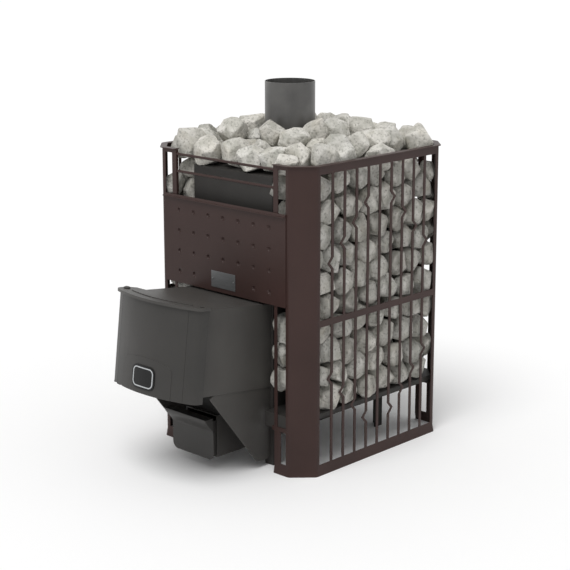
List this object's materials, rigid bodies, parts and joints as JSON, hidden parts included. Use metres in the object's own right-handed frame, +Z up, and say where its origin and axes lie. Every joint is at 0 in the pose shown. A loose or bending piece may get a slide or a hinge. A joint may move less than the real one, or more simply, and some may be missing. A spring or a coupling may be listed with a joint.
{
  "type": "wood-burning sauna stove",
  "caption": "Wood-burning sauna stove: a chamfered steel cage full of stones round a firebox, with a tilted fuel channel, a bulged hinged door, an ash drawer and a flue pipe.",
  "frame": {"origin": "under the middle of the whole stove, on the floor", "axes": "+Z up the flue, -Y towards the door, +X to the right seen from the front"},
  "size_m": [0.498, 0.76, 0.85],
  "materials": {
    "brown_paint": "heat-proof brown paint, fine grain, satin",
    "charcoal_enamel": "charcoal grey heat-proof paint, satin",
    "hot_steel": "dark heat-stained steel plate, matt",
    "cast_iron": "as cast, sooty",
    "flue_steel": "dull rolled steel",
    "bare_steel": "brushed, bare",
    "black_badge": "black, semi-gloss",
    "rope_seal": "woven glass rope",
    "stone": "broken grey rock, rough"
  },
  "bodies": {
    "stove": {"corner_post_front_right": "brown_paint", "corner_post_front_left": "brown_paint", "corner_post_rear_right": "brown_paint", "corner_post_rear_left": "brown_paint", "rim_right": "brown_paint", "rim_left": "brown_paint", "side_grille_right": "brown_paint", "side_grille_left": "brown_paint", "front_panel": "brown_paint", "rating_plate": "bare_steel", "front_rod_upper": "brown_paint", "front_rod_lower": "brown_paint", "rear_rod_upper": "brown_paint", "rear_rod_lower": "brown_paint", "rear_grille": "brown_paint", "firebox_shell": "hot_steel", "firebox_floor": "hot_steel", "grate": "cast_iron", "baffle": "hot_steel", "leg_front_right": "hot_steel", "leg_front_left": "hot_steel", "leg_rear_right": "hot_steel", "leg_rear_left": "hot_steel", "flue_collar": "hot_steel", "flue_pipe": "flue_steel", "stone_shelf_right": "hot_steel", "stone_shelf_left": "hot_steel", "stone_shelf_rear": "hot_steel", "fuel_channel": "charcoal_enamel", "door_hood": "charcoal_enamel", "lower_hinge_bracket": "charcoal_enamel", "upper_hinge_pin": "charcoal_enamel", "lower_hinge_pin": "charcoal_enamel", "ash_cheek_right": "charcoal_enamel", "ash_cheek_left": "charcoal_enamel", "ash_hood_plate": "hot_steel", "ash_duct": "hot_steel", "ash_chute": "hot_steel", "stones_right": "stone", "stones_left": "stone", "stones_rear": "stone", "stones_top_front": "stone", "stones_top_rear": "stone", "stones_top_right": "stone", "stones_top_left": "stone"},
    "door": {"door_cover": "charcoal_enamel", "door_side_right": "charcoal_enamel", "door_side_left": "charcoal_enamel", "door_leaf": "hot_steel", "door_seal": "rope_seal", "door_heat_shield": "hot_steel", "door_badge": "black_badge", "hinge_lug_upper": "charcoal_enamel", "hinge_lug_lower": "charcoal_enamel"},
    "ash_drawer": {"ash_drawer_tray": "hot_steel", "ash_drawer_front": "charcoal_enamel"}
  },
  "joints": [
    {"name": "door_hinge", "type": "hinge", "parent": "stove", "child": "door", "pos_m": [-0.122, -0.32337, 0.30427], "axis": [0, -0.1219, -0.9925], "range_deg": [0, 110]},
    {"name": "ash_drawer_slide", "type": "slide", "parent": "stove", "child": "ash_drawer", "axis": [0, -1, 0], "range_m": [-0.025, 0.2]}
  ]
}
